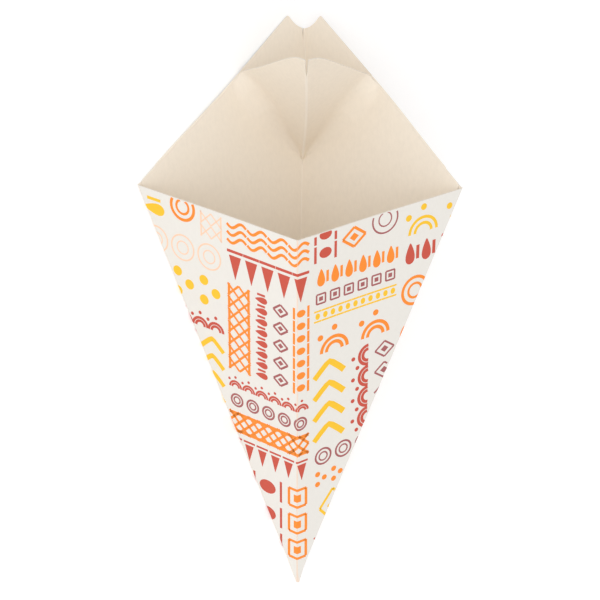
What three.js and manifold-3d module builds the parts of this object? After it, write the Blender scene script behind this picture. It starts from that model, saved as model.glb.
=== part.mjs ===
// A takeaway cone for french fries, folded from one sheet of card, with a sauce pocket at its back.
// Four panels of one angle meet at the apex, so the cone folds flat. It lies at rest on its back left panel.
// Millimetres, +Z up. The apex is towards -Y and the mouth towards +Y.
import * as THREE from "three";
import { mergeVertices } from "three/addons/utils/BufferGeometryUtils.js";
import Module from "manifold-3d";

const wasm = await Module();
wasm.setup();

const { sin, cos, tan, sqrt } = Math;
const degrees = Math.PI / 180;

// The board and the four panels
const board = 0.45; // thickness of the card
const sideFold = 165; // apex to the end of the front lip, along a side fold
const panelAngle = 25.7 * degrees; // angle of each panel at the apex
const lean = 15.4 * degrees; // front fold and back fold, from the cone's axis
const tipBlunt = 1.2; // how far above the meeting point of the folds the tip ends

// The high back with its thumb notch
const slantAngle = 46.6 * degrees; // slanted back edges, from square to the back fold, in the flat
const notchDrop = 12.6; // where the slanted edges would meet to the bottom of the thumb notch
const notchRadius = 8;
const peakRound = 3.2; // length over which each peak is rounded
const notchSlit = { length: 4.6, width: 0.7 };

// The inner ply, turned in over the slanted edges and glued to the back panels
const plyBelow = 53.5; // the pocket's bottom to the ply's lower edge
const plyClear = 2; // from a side fold to the ply
const turnIn = { start: 10, step: 0.4 }; // where the turned edge starts, from the corner, and how far it stands out

// The glue tab, folded in from the front right panel
const tab = { width: 11, top: 6, bottom: 9, taper: 7 };

// The sauce pocket, where the inner ply is pushed forward along its creases
const pocketDepth = 62.85; // where the slanted edges would meet to the lowest point of the pocket
const pocketSpan = { left: 30.4, right: 31 }; // back fold to the pocket's two ends on the slanted edges
const pocketSwing = 2.25 * degrees; // the pocket's middle crease, from the back fold, in the flat
const lipDrop = 1.95; // where the slanted edges would meet to the top of the lip, in the flat
const lipFlat = 4.25; // half the width of the lip's top, before its corners are rounded
const lipRound = 4.2; // length over which each of those corners is rounded
const lipSlit = { length: 8.6, width: 0.9 };

// Directions of the folds, with the cone's apex at the origin, its axis up and its front towards -Y
const halfOpening = Math.acos(cos(panelAngle) / cos(lean));
const backFold = new THREE.Vector3(0, sin(lean), cos(lean));
const frontFold = new THREE.Vector3(0, -sin(lean), cos(lean));
const leftFold = new THREE.Vector3(-sin(halfOpening), 0, cos(halfOpening));
const rightFold = new THREE.Vector3(sin(halfOpening), 0, cos(halfOpening));
const axis = new THREE.Vector3(0, 0, 1);

// Places in the flat, as distance along the middle fold and distance across from it
const cornerAlong = sideFold * cos(panelAngle);
const cornerAcross = sideFold * sin(panelAngle);
const slantRise = tan(slantAngle);
const slantTop = cornerAlong + cornerAcross * slantRise; // where the two slanted edges would meet
const notchBottom = slantTop - notchDrop;
const pocketBottom = slantTop - pocketDepth;
const lipTop = pocketDepth - lipDrop; // from the pocket's bottom
const plyBottom = pocketBottom - plyBelow;
const reach = 1.3 * slantTop; // longer than the card in every direction

// A plane of card: where it starts, the direction of its middle fold, and the direction across towards its side.
function sheet(origin, along, side, inside) {
  const across = side.clone().addScaledVector(along, -side.dot(along)).normalize();
  const inward = new THREE.Vector3().crossVectors(along, across).normalize();
  if (inward.dot(inside) < 0) inward.negate();
  return { origin, along, across, inward };
}

const toFront = new THREE.Vector3(0, -1, 0);
const toBack = new THREE.Vector3(0, 1, 0);
const apex = new THREE.Vector3(0, 0, 0);
const panels = {
  backLeft: sheet(apex, backFold, leftFold, toFront),
  backRight: sheet(apex, backFold, rightFold, toFront),
  frontLeft: sheet(apex, frontFold, leftFold, toBack),
  frontRight: sheet(apex, frontFold, rightFold, toBack),
};

// Along the axis, from one face of the card to the face that lies one millimetre deeper
const axialRise = 1 / panels.backLeft.inward.dot(axis);

// A three.js geometry as a manifold solid.
function solid(geometry, matrix) {
  const bare = geometry.clone();
  bare.deleteAttribute("normal");
  bare.deleteAttribute("uv");
  bare.applyMatrix4(matrix);
  const merged = mergeVertices(bare, 1e-4);
  const triVerts = new Uint32Array(merged.index.array);
  if (matrix.determinant() < 0)
    for (let i = 0; i < triVerts.length; i += 3)
      [triVerts[i], triVerts[i + 1]] = [triVerts[i + 1], triVerts[i]];
  const vertProperties = merged.attributes.position.array;
  return new wasm.Manifold(new wasm.Mesh({ numProp: 3, vertProperties, triVerts }));
}

// An outline drawn on a plane of card, as a prism from one depth to a deeper one.
function prism(plane, outline, from, to) {
  const body = new THREE.ExtrudeGeometry(outline, {
    depth: to - from,
    bevelEnabled: false,
    curveSegments: 12,
  });
  body.translate(0, 0, from);
  const place = new THREE.Matrix4().makeBasis(plane.along, plane.across, plane.inward);
  return solid(body, place.setPosition(plane.origin));
}

// The space inside the four panels, from the given depth under their outer faces.
function insideFrom(depth) {
  const pyramid = new THREE.ConeGeometry(1, 1, 4, 1);
  pyramid.rotateX(-Math.PI / 2);
  pyramid.translate(0, 0, 0.5);
  const size = new THREE.Vector3(reach * tan(halfOpening), reach * tan(lean), reach);
  const place = new THREE.Matrix4().makeScale(size.x, size.y, size.z);
  return solid(pyramid, place.setPosition(0, 0, depth * axialRise));
}

const layer = (from, to) => insideFrom(from).subtract(insideFrom(to));

// A corner of an outline rounded over the given length on both of its edges.
function roundedCorner(shape, corner, next, length) {
  const before = shape.currentPoint.clone().sub(corner).setLength(length).add(corner);
  const after = next.clone().sub(corner).setLength(length).add(corner);
  shape.lineTo(before.x, before.y);
  shape.quadraticCurveTo(corner.x, corner.y, after.x, after.y);
}

const overlap = 0.3; // how far the outlines of two panels cross their shared fold

// The end of a panel at its side fold, carried a little across that fold.
function sideEdge(shape, along, across) {
  shape.lineTo(along + overlap * sin(panelAngle), across + overlap * cos(panelAngle));
  shape.lineTo(overlap * sin(panelAngle), overlap * cos(panelAngle));
}

// A front panel: the lip is one straight cut in the flat.
function frontOutline() {
  const shape = new THREE.Shape();
  shape.moveTo(0, -overlap);
  shape.lineTo(cornerAlong, -overlap);
  shape.lineTo(cornerAlong, cornerAcross);
  sideEdge(shape, cornerAlong, cornerAcross);
  return shape;
}

// A point of the slanted edge, by its distance from the corner, moved out by a step.
function slantPoint(distance, out = 0) {
  return new THREE.Vector2(
    cornerAlong + distance * sin(slantAngle) + out * cos(slantAngle),
    cornerAcross - distance * cos(slantAngle) + out * sin(slantAngle),
  );
}

// Where the slanted edge crosses the thumb notch.
function peak() {
  const middle = slantTop - notchBottom - notchRadius;
  const squares = 1 + slantRise * slantRise;
  const root = (slantRise * middle) ** 2 - squares * (middle * middle - notchRadius ** 2);
  const across = (slantRise * middle + sqrt(root)) / squares;
  return new THREE.Vector2(slantTop - slantRise * across, across);
}

// A back panel, up to its peak and down the thumb notch to the back fold.
function backOutline() {
  const shape = new THREE.Shape();
  const top = peak();
  const notchMiddle = notchBottom + notchRadius;
  const turn = Math.asin(top.y / notchRadius) - peakRound / notchRadius;
  const onNotch = new THREE.Vector2(
    notchMiddle - notchRadius * cos(turn),
    notchRadius * sin(turn),
  );
  const turned = slantPoint(turnIn.start);
  const corner = slantPoint(0, -turnIn.step);
  const stepped = slantPoint(turnIn.start, -turnIn.step);
  shape.moveTo(0, -overlap);
  shape.lineTo(notchBottom, -overlap);
  shape.lineTo(notchBottom, 0);
  shape.absarc(notchMiddle, 0, notchRadius, Math.PI, Math.PI - turn, true);
  const beforePeak = turned.clone().sub(top).setLength(peakRound).add(top);
  shape.lineTo(onNotch.x, onNotch.y);
  shape.quadraticCurveTo(top.x, top.y, beforePeak.x, beforePeak.y);
  shape.lineTo(turned.x, turned.y);
  shape.lineTo(stepped.x, stepped.y);
  shape.lineTo(corner.x, corner.y);
  sideEdge(shape, cornerAlong, cornerAcross);
  return shape;
}

// The point of the slanted edge at the given distance across from the back fold.
const slantEnd = (across) => new THREE.Vector2(slantTop - across * slantRise, across);

// The inner ply on a back panel, from its lower edge to the crease that ends the pocket on that side.
function plyOutline(span) {
  const shape = new THREE.Shape();
  const end = slantEnd(span);
  const turned = slantPoint(turnIn.start);
  const stepped = slantPoint(turnIn.start, -turnIn.step);
  const clear = plyClear / sin(panelAngle);
  const top = slantPoint(plyClear / sin(panelAngle + slantAngle), -turnIn.step);
  shape.moveTo(plyBottom, -overlap);
  shape.lineTo(pocketBottom, -overlap);
  shape.lineTo(pocketBottom, 0);
  shape.lineTo(end.x, end.y);
  shape.lineTo(turned.x, turned.y);
  shape.lineTo(stepped.x, stepped.y);
  shape.lineTo(top.x, top.y);
  shape.lineTo(plyBottom, (plyBottom - clear) * tan(panelAngle));
  return shape;
}

// The glue tab on the back right panel, narrower at both ends.
function tabOutline() {
  const shape = new THREE.Shape();
  const at = (distance, width) =>
    new THREE.Vector2(
      distance * cos(panelAngle) + width * sin(panelAngle),
      distance * sin(panelAngle) - width * cos(panelAngle),
    );
  const points = [
    at(tab.bottom, -overlap),
    at(tab.bottom, 0),
    at(tab.bottom + tab.width * 2, tab.width),
    at(sideFold - tab.top - tab.taper, tab.width),
    at(sideFold - tab.top, 0),
    at(sideFold - tab.top, -overlap),
  ];
  return shape.setFromPoints(points);
}

// The pocket's end on a slanted edge, on the card's inner face.
function pocketEnd(panel, span) {
  const flat = slantEnd(span);
  return panel.along
    .clone()
    .multiplyScalar(flat.x)
    .addScaledVector(panel.across, flat.y)
    .addScaledVector(panel.inward, board);
}

// The crease that leaves the same point as two others, towards the front, at the given angles to them.
function creaseBetween(left, right, toLeft, toRight) {
  const between = left.dot(right);
  const squares = 1 - between * between;
  const shareLeft = (cos(toLeft) - between * cos(toRight)) / squares;
  const shareRight = (cos(toRight) - between * cos(toLeft)) / squares;
  const flat = left.clone().multiplyScalar(shareLeft).addScaledVector(right, shareRight);
  const square = new THREE.Vector3().crossVectors(right, left).normalize();
  if (square.dot(toFront) < 0) square.negate();
  return flat.addScaledVector(square, sqrt(1 - flat.lengthSq()));
}

// Pushed forward, the pocket's middle crease keeps its flat angles to the creases that run to its two ends.
const innerApex = axis.clone().multiplyScalar(board * axialRise);
const bottom = innerApex.clone().addScaledVector(backFold, pocketBottom - innerApex.dot(backFold));
const ends = {
  left: pocketEnd(panels.backLeft, pocketSpan.left),
  right: pocketEnd(panels.backRight, pocketSpan.right),
};
const endCrease = {
  left: ends.left.clone().sub(bottom).normalize(),
  right: ends.right.clone().sub(bottom).normalize(),
};
const pocketFold = creaseBetween(
  endCrease.left,
  endCrease.right,
  endCrease.left.angleTo(backFold) + pocketSwing,
  endCrease.right.angleTo(backFold) - pocketSwing,
);
const pocketPanels = {
  left: sheet(bottom, pocketFold, endCrease.left, toBack),
  right: sheet(bottom, pocketFold, endCrease.right, toBack),
};

// One half of the pocket's front, from its crease on the back panel to the hump of its lip.
function pocketOutline(plane, corner) {
  const shape = new THREE.Shape();
  const toEnd = corner.clone().sub(bottom);
  const end = new THREE.Vector2(toEnd.dot(plane.along), toEnd.dot(plane.across));
  const hump = new THREE.Vector2(lipTop, lipFlat);
  const middle = new THREE.Vector2(lipTop, 0);
  const spread = end.clone().setLength(board);
  shape.moveTo(0, -overlap);
  shape.lineTo(0, 0);
  shape.lineTo(-spread.y, spread.x);
  shape.lineTo(end.x - spread.y, end.y + spread.x);
  shape.lineTo(end.x, end.y);
  roundedCorner(shape, hump, middle, lipRound);
  shape.lineTo(middle.x, middle.y);
  shape.lineTo(middle.x, -overlap);
  return shape;
}

// Everything on the inner side of a plane of card, from the given depth.
function behind(plane, depth) {
  const block = new THREE.BoxGeometry(2 * reach, 2 * reach, reach);
  block.translate(0, 0, depth + reach / 2);
  const place = new THREE.Matrix4().makeBasis(plane.along, plane.across, plane.inward);
  return solid(block, place.setPosition(plane.origin));
}

const pocketSpace = (depth) =>
  behind(pocketPanels.left, depth).intersect(behind(pocketPanels.right, depth));

// The two halves of the pocket's front, mitred at the middle crease.
function pocketFront() {
  const deep = 3 * board;
  const halves = prism(pocketPanels.left, pocketOutline(pocketPanels.left, ends.left), -deep, deep).add(
    prism(pocketPanels.right, pocketOutline(pocketPanels.right, ends.right), -deep, deep),
  );
  const walls = pocketSpace(-board).subtract(pocketSpace(0));
  return walls.intersect(halves).intersect(insideFrom(board / 2));
}

// A thin tapered cut that opens at an edge of the card.
function slitCut(plane, top, size, across = 0) {
  const shape = new THREE.Shape();
  shape.moveTo(top - size.length, across);
  shape.lineTo(top + size.length, across - size.width);
  shape.lineTo(top + size.length, across + size.width);
  return prism(plane, shape, -4 * board, 4 * board);
}

function card() {
  const deep = 4 * board;
  const outlines = prism(panels.frontLeft, frontOutline(), -board, deep)
    .add(prism(panels.frontRight, frontOutline(), -board, deep))
    .add(prism(panels.backLeft, backOutline(), -board, deep))
    .add(prism(panels.backRight, backOutline(), -board, deep));
  const plies = prism(panels.backLeft, plyOutline(pocketSpan.left), 0, deep).add(
    prism(panels.backRight, plyOutline(pocketSpan.right), 0, deep),
  );
  const glueTab = layer(board / 2, 3 * board).intersect(
    prism(panels.backRight, tabOutline(), 0, deep),
  );
  const tip = new THREE.BoxGeometry(4 * board + 20, 4 * board + 20, 2 * tipBlunt);
  return layer(0, board)
    .intersect(outlines)
    .add(layer(board / 2, 2 * board).intersect(plies))
    .add(glueTab)
    .add(pocketFront())
    .subtract(slitCut(panels.backLeft, notchBottom, notchSlit, notchSlit.width))
    .subtract(slitCut(pocketPanels.left, lipTop, lipSlit))
    .subtract(slitCut(pocketPanels.right, lipTop, lipSlit))
    .subtract(solid(tip, new THREE.Matrix4()));
}

// A manifold solid as a three.js geometry.
function geometryOf(body) {
  const mesh = body.getMesh();
  const geometry = new THREE.BufferGeometry();
  geometry.setAttribute("position", new THREE.BufferAttribute(mesh.vertProperties, 3));
  geometry.setIndex(new THREE.BufferAttribute(mesh.triVerts, 1));
  const flat = geometry.toNonIndexed();
  flat.computeVertexNormals();
  return flat;
}

const paperboard = new THREE.MeshStandardMaterial({ color: 0xefebe2, roughness: 0.62, metalness: 0 });
const coneCard = new THREE.Mesh(geometryOf(card()), paperboard);
coneCard.name = "cone_card";

// Lying on the back left panel, with the axis over +Y, and the middle of its box over the origin
const restUp = panels.backLeft.inward.clone();
const restAlong = axis.clone().addScaledVector(restUp, -axis.dot(restUp)).normalize();
const restSide = new THREE.Vector3().crossVectors(restAlong, restUp);
const lying = new THREE.Group();
lying.quaternion.setFromRotationMatrix(
  new THREE.Matrix4().makeBasis(restSide, restAlong, restUp).transpose(),
);
lying.add(coneCard);
const box = new THREE.Box3().setFromObject(lying, true);
lying.position.set(-(box.min.x + box.max.x) / 2, -(box.min.y + box.max.y) / 2, -box.min.z);

const friesCone = new THREE.Group();
friesCone.add(lying);

export default friesCone;
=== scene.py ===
"""A folded card cone for french fries, lying on its back left panel: bare beige board inside, print outside.

Lengths in this file are millimetres and angles are radians, unless a name or a comment says otherwise.
A mesh is written in metres. The cone's own frame has its apex at the origin, its axis up +Z and its
front towards -Y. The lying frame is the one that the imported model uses.
"""
import logging
from dataclasses import dataclass, field
from enum import Enum
from typing import Sequence

import bmesh
import bpy
import numpy as np
from mathutils import Matrix, Vector


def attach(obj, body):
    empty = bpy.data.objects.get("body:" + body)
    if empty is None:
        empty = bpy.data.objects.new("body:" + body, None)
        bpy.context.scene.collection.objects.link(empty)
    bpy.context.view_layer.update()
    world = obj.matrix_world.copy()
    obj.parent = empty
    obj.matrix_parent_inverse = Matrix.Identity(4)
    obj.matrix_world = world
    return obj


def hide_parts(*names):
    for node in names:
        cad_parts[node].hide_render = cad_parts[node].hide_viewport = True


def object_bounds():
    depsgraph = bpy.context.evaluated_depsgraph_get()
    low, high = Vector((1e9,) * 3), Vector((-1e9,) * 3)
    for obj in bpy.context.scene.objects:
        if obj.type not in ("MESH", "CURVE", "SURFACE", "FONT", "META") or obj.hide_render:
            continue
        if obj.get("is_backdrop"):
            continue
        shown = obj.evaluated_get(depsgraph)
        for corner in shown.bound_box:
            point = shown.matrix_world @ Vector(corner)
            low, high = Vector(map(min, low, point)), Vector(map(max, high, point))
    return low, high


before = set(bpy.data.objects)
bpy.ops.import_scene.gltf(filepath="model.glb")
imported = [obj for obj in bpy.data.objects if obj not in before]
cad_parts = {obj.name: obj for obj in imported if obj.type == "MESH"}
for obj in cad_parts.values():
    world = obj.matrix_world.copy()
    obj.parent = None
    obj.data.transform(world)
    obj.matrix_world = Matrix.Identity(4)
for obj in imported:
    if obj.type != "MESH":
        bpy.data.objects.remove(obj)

Array = np.ndarray
log = logging.getLogger("fries_cone")

MM = 0.001
TINY = 1e-9
FAR = 1e4
WHITE = (1.0, 1.0, 1.0, 1.0)
SHARP_TURN = np.radians(35.0)
BUMP_HEIGHT = 0.12 * MM
NODE = "cone_card"
CAD_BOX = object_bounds()


def unit(vector: Array) -> Array:
    """Return the vector, or each row of an array of vectors, at length one."""
    return vector / np.linalg.norm(vector, axis=-1, keepdims=True)


def smooth_step(low: float, high: float, value: Array) -> Array:
    """Return 0 under low and 1 over high, joined by the cubic 3x^2 - 2x^3.

    Args:
        low: where the step starts.
        high: where the step ends.
        value: the values to map.

    Returns:
        The mapped values.
    """
    x = np.clip((value - low) / (high - low), 0.0, 1.0)
    return x * x * (3.0 - 2.0 * x)


def soft_min(first: Array, second: Array, width: float) -> Array:
    """Return the lesser of two arrays, with the corner where they cross rounded over.

    The formula is -w ln(exp(-a/w) + exp(-b/w)), worked out from the lesser value so that it stays finite.

    Args:
        first: the values a.
        second: the values b.
        width: about how far the rounding reaches, w.

    Returns:
        The rounded lesser values.
    """
    low = np.minimum(first, second)
    return low - width * np.log1p(np.exp(-np.abs(first - second) / width))


@dataclass(frozen=True)
class Blank:
    """The driving sizes of the card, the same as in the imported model.

    Flat coordinates are along a middle fold from the apex, and across from that fold towards a side fold.
    """

    board: float = 0.45
    side_fold: float = 165.0
    panel_angle: float = np.radians(25.7)
    lean: float = np.radians(15.4)
    slant_angle: float = np.radians(46.6)
    notch_drop: float = 12.6
    notch_radius: float = 8.0
    ply_below: float = 53.5
    ply_clear: float = 2.0
    turn_start: float = 10.0
    pocket_depth: float = 62.85
    pocket_left: float = 30.4
    pocket_right: float = 31.0
    pocket_swing: float = np.radians(2.25)
    lip_drop: float = 1.95
    lip_flat: float = 4.25
    tip_y: float = -107.51

    @property
    def corner_along(self) -> float:
        """Distance of the front lip from the apex, along the front fold."""
        return self.side_fold * np.cos(self.panel_angle)

    @property
    def corner_across(self) -> float:
        """Distance of a lip corner from the front fold, in the flat."""
        return self.side_fold * np.sin(self.panel_angle)

    @property
    def slant_rise(self) -> float:
        """Rise of a slanted edge for each millimetre across."""
        return np.tan(self.slant_angle)

    @property
    def slant_top(self) -> float:
        """Where the two slanted edges would meet, from the apex."""
        return self.corner_along + self.corner_across * self.slant_rise

    @property
    def half_opening(self) -> float:
        """Angle between the axis and a side fold: cos(panel) = cos(lean) cos(half opening)."""
        return np.arccos(np.cos(self.panel_angle) / np.cos(self.lean))

    @property
    def back_fold(self) -> Array:
        """Direction of the back fold in the cone's frame."""
        return np.array([0.0, np.sin(self.lean), np.cos(self.lean)])

    @property
    def front_fold(self) -> Array:
        """Direction of the front fold in the cone's frame."""
        return self.back_fold * [1.0, -1.0, 1.0]

    @property
    def right_fold(self) -> Array:
        """Direction of the right side fold in the cone's frame."""
        return np.array([np.sin(self.half_opening), 0.0, np.cos(self.half_opening)])

    @property
    def left_fold(self) -> Array:
        """Direction of the left side fold in the cone's frame."""
        return self.right_fold * [-1.0, 1.0, 1.0]

    def slant_across(self, side: float) -> Array:
        """Return the unit direction across a back panel, towards side -1 (left) or +1 (right)."""
        fold = self.right_fold if side > 0 else self.left_fold
        return unit(fold - (fold @ self.back_fold) * self.back_fold)

    def lying(self) -> Array:
        """Return the turn from the cone's frame to the lying frame.

        Up is the inward normal of the back left panel, along is the cone's axis with its part along up
        taken away, and side is along times up.

        Returns:
            The lying axes side, along and up, as rows.
        """
        up = unit(np.cross(self.back_fold, self.left_fold))
        up = up if up[1] < 0 else -up
        axis = np.array([0.0, 0.0, 1.0])
        along = unit(axis - (axis @ up) * up)
        return np.stack([np.cross(along, up), along, up])

    def to_lying(self, points: Array) -> Array:
        """Return points of the cone's frame in the lying frame."""
        return points @ self.lying().T + [0.0, self.tip_y, 0.0]


BLANK = Blank()


@dataclass
class Fan:
    """Flat sectors of card round one point, folded along straight lines that leave it.

    A point of the card is its angle round the fan and its distance from the point. Near a fold with the
    two flat directions a and b away from it, the sharp corner is an arc: with the bisector m, the tangent
    t and the half turn h, the arc is radius * (t sin(g) + m (1/cos(h) - cos(g))) for g from -h to h.

    A fold's radius grows from nothing at the point, over a distance of taper times itself. Where tighten is
    given, the radius then shrinks by the share tightening between those two distances. The side of a sector
    that faces the point inside is its inner one, tested at the distance probe.
    """

    origin: Array
    angles: Array
    directions: Array
    radii: Array
    inside: Array
    taper: float = 4.0
    tighten: tuple[float, float] | None = None
    tightening: float = 0.6
    probe: float = 40.0
    before: Array = field(init=False)
    after: Array = field(init=False)
    normal_before: Array = field(init=False)
    normal_after: Array = field(init=False)

    def __post_init__(self) -> None:
        """Work out the flat directions on both sides of each fold. The last fold is the first again."""
        step = np.diff(self.angles)
        start, end = self.directions[:-1], self.directions[1:]
        cosine, sine = np.cos(step)[:, None], np.sin(step)[:, None]
        leaving = (end - cosine * start) / sine
        arriving = (start - cosine * end) / sine
        self.after = np.concatenate([leaving, leaving[:1]])
        self.before = np.concatenate([arriving[-1:], arriving])
        sector = unit(np.cross(start, leaving))
        middle = unit(start + end)
        toward = self.inside - self.origin - middle * self.probe
        sector = sector * np.sign(np.sum(sector * toward, axis=1))[:, None]
        self.normal_after = np.concatenate([sector, sector[:1]])
        self.normal_before = np.concatenate([sector[-1:], sector])

    def place(self, angle: Array, distance: Array, depth: float | Array = 0.0) -> Array:
        """Return points of the folded card.

        Args:
            angle: angle round the fan.
            distance: distance from the fan's point.
            depth: how far inwards from the fan's surface, along its normal.

        Returns:
            Points in the cone's frame, one row for each, in the shape of the angle and 3.
        """
        angle, distance = np.broadcast_arrays(np.asarray(angle, float), np.asarray(distance, float))
        gap = np.abs(angle[..., None] - self.angles)
        fold = np.argmin(gap, axis=-1)
        turn = angle - self.angles[fold]
        along = (distance * np.cos(turn))[..., None]
        across = distance * np.sin(turn)
        middle = unit(self.before + self.after)[fold]
        tangent = unit(self.after - self.before)[fold]
        half = np.arctan2(
            np.sum(self.after[fold] * middle, axis=-1), np.sum(self.after[fold] * tangent, axis=-1)
        )
        radius = self.radii[fold] * np.minimum(1.0, distance / (self.taper * self.radii[fold] + TINY))
        if self.tighten:
            radius = radius * (1.0 - self.tightening * smooth_step(*self.tighten, distance))
        reach = np.maximum(radius * np.tan(half), TINY)
        bent = np.clip(across / reach, -1.0, 1.0) * half
        arc = radius[..., None] * (
            tangent * np.sin(bent)[..., None]
            + middle * (1.0 / np.cos(half) - np.cos(bent))[..., None]
        )
        flat_side = np.where(across[..., None] >= 0, self.after[fold], self.before[fold])
        flat = np.abs(across)[..., None] * flat_side
        sideways = np.where((np.abs(across) < reach)[..., None], arc, flat)
        facing = self.normal_after[fold] + self.normal_before[fold]
        sign = np.sign(np.sum(facing * middle, axis=-1))[..., None]
        normal = sign * (middle * np.cos(bent)[..., None] - tangent * np.sin(bent)[..., None])
        depth = np.broadcast_to(np.asarray(depth, float), angle.shape)[..., None]
        return self.origin + along * self.directions[fold] + sideways + depth * normal


def cone_fan(blank: Blank) -> Fan:
    """Return the four panels round the apex, from the back fold over the left, front and right folds.

    Args:
        blank: the card's sizes.

    Returns:
        The fan, with the angle 0 at the front fold.
    """
    a = blank.panel_angle
    folds = [blank.back_fold, blank.left_fold, blank.front_fold, blank.right_fold, blank.back_fold]
    radii = np.array([0.6, 0.62, 0.6, 0.62, 0.6])
    on_axis = np.array([0.0, 0.0, 40.0])
    return Fan(np.zeros(3), np.array([-2 * a, -a, 0.0, a, 2 * a]), np.array(folds), radii, on_axis)


@dataclass(frozen=True)
class Sway:
    """The small shift of the high back to its right, as the real card stands.

    The shift along x is a bell over the height on the axis, times a share that grows from the front to the
    back.
    """

    shift: float = 1.1
    height: float = 183.0
    spread: float = 22.0
    front: float = -2.0
    back: float = 30.0

    def move(self, points: Array) -> Array:
        """Return the points of the cone's frame after the shift.

        Args:
            points: points in any shape that ends with 3.

        Returns:
            The moved points, in the same shape.
        """
        share = smooth_step(self.front, self.back, points[..., 1])
        bell = np.exp(-(((points[..., 2] - self.height) / self.spread) ** 2))
        moved = points.copy()
        moved[..., 0] += self.shift * bell * share
        return moved


SWAY = Sway()


@dataclass
class Sheet:
    """Vertices and quads of a mesh in the making, with a finish number for each quad."""

    points: list[Array] = field(default_factory=list)
    quads: list[Array] = field(default_factory=list)
    finishes: list[Array] = field(default_factory=list)
    marks: list[Array] = field(default_factory=list)
    count: int = 0

    def grid(self, points: Array, finish: int, mark: Array | float = 1.0, flip: bool = False) -> Array:
        """Add a grid of points and its quads.

        Args:
            points: rows and columns of points.
            finish: the finish number of the quads.
            mark: a value that each vertex keeps for its material.
            flip: whether the quads face the other way.

        Returns:
            The numbers of the grid's vertices, in the grid's shape.
        """
        rows, columns = points.shape[:2]
        number = np.arange(rows * columns).reshape(rows, columns) + self.count
        self.points.append(points.reshape(-1, 3))
        self.marks.append(np.broadcast_to(mark, (rows, columns)).reshape(-1))
        self.count += rows * columns
        self.band(number, finish, flip)
        return number

    def band(self, number: Array, finish: int, flip: bool = False) -> None:
        """Add the quads between the rows and columns of vertex numbers.

        Args:
            number: the vertex numbers, in rows and columns.
            finish: the finish number of the quads.
            flip: whether the quads face the other way.
        """
        quads = np.stack([number[:-1, :-1], number[:-1, 1:], number[1:, 1:], number[1:, :-1]], axis=-1)
        quads = quads.reshape(-1, 4)
        self.quads.append(quads[:, ::-1] if flip else quads)
        self.finishes.append(np.full(len(quads), finish))

    def tube(self, ring: Array, finish: int) -> None:
        """Add a closed bar: quads round each ring of points to the next, and quads across both ends.

        Args:
            ring: the rings, in the shape of their number, their points and 3. The first half of each ring
                goes over the top, and the second half comes back below.
            finish: the finish number of the quads.
        """
        rows, columns = ring.shape[:2]
        number = np.arange(rows * columns).reshape(rows, columns) + self.count
        self.points.append(ring.reshape(-1, 3))
        self.marks.append(np.ones(rows * columns))
        self.count += rows * columns
        self.band(np.concatenate([number, number[:, :1]], axis=1), finish)
        half = columns // 2
        for row, flip in ((number[0], False), (number[-1], True)):
            self.band(np.stack([row[:half], row[: half - 1 : -1]], axis=1), finish, flip)

    def build(
        self, name: str, materials: Sequence[bpy.types.Material], slot: str = "card", merge: bool = True
    ) -> bpy.types.Object:
        """Make the object, riding on the root body, with sharp edges where its faces turn by much.

        Args:
            name: the piece's name.
            materials: its materials, by finish number.
            slot: not used.
            merge: whether doubles are merged.

        Returns:
            The new object, in the scene.
        """
        points = BLANK.to_lying(np.concatenate(self.points)) * MM
        quads = np.concatenate(self.quads)
        mesh = bpy.data.meshes.new(name)
        mesh.vertices.add(len(points))
        mesh.vertices.foreach_set("co", points.astype(np.float32).ravel())
        mesh.loops.add(quads.size)
        mesh.loops.foreach_set("vertex_index", quads.astype(np.int32).ravel())
        mesh.polygons.add(len(quads))
        mesh.polygons.foreach_set("loop_start", np.arange(0, quads.size, 4, dtype=np.int32))
        mesh.update(calc_edges=True)
        mesh.polygons.foreach_set("material_index", np.concatenate(self.finishes).astype(np.int32))
        mark = mesh.attributes.new("mark", "FLOAT", "POINT")
        mark.data.foreach_set("value", np.concatenate(self.marks).astype(np.float32))
        mesh.validate()
        if merge:
            clean(mesh)
        mesh.set_sharp_from_angle(angle=SHARP_TURN)
        for material in materials:
            mesh.materials.append(material)
        return put(name, mesh)


def clean(mesh: bpy.types.Mesh, distance: float = 2e-7) -> None:
    """Merge doubles and drop faces with no area.

    Args:
        mesh: the mesh, changed in place.
        distance: how close doubles are, in metres.
    """
    work = bmesh.new()
    work.from_mesh(mesh)
    bmesh.ops.remove_doubles(work, verts=work.verts, dist=distance)
    bmesh.ops.dissolve_degenerate(work, edges=work.edges, dist=distance)
    work.to_mesh(mesh)
    work.free()


def put(name: str, mesh: bpy.types.Mesh) -> bpy.types.Object:
    """Put a mesh in the scene as a piece on the root body.

    Args:
        name: the piece's name.
        mesh: its mesh, in its place in the lying frame.

    Returns:
        The new object.
    """
    piece = bpy.data.objects.new(name, mesh)
    bpy.context.scene.collection.objects.link(piece)
    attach(piece, "root")
    return piece


class Finish(Enum):
    """Numbers of the card's finishes, in the order in which its pieces hold them."""

    OUTSIDE = 0
    INSIDE = 1
    EDGE = 2


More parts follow.
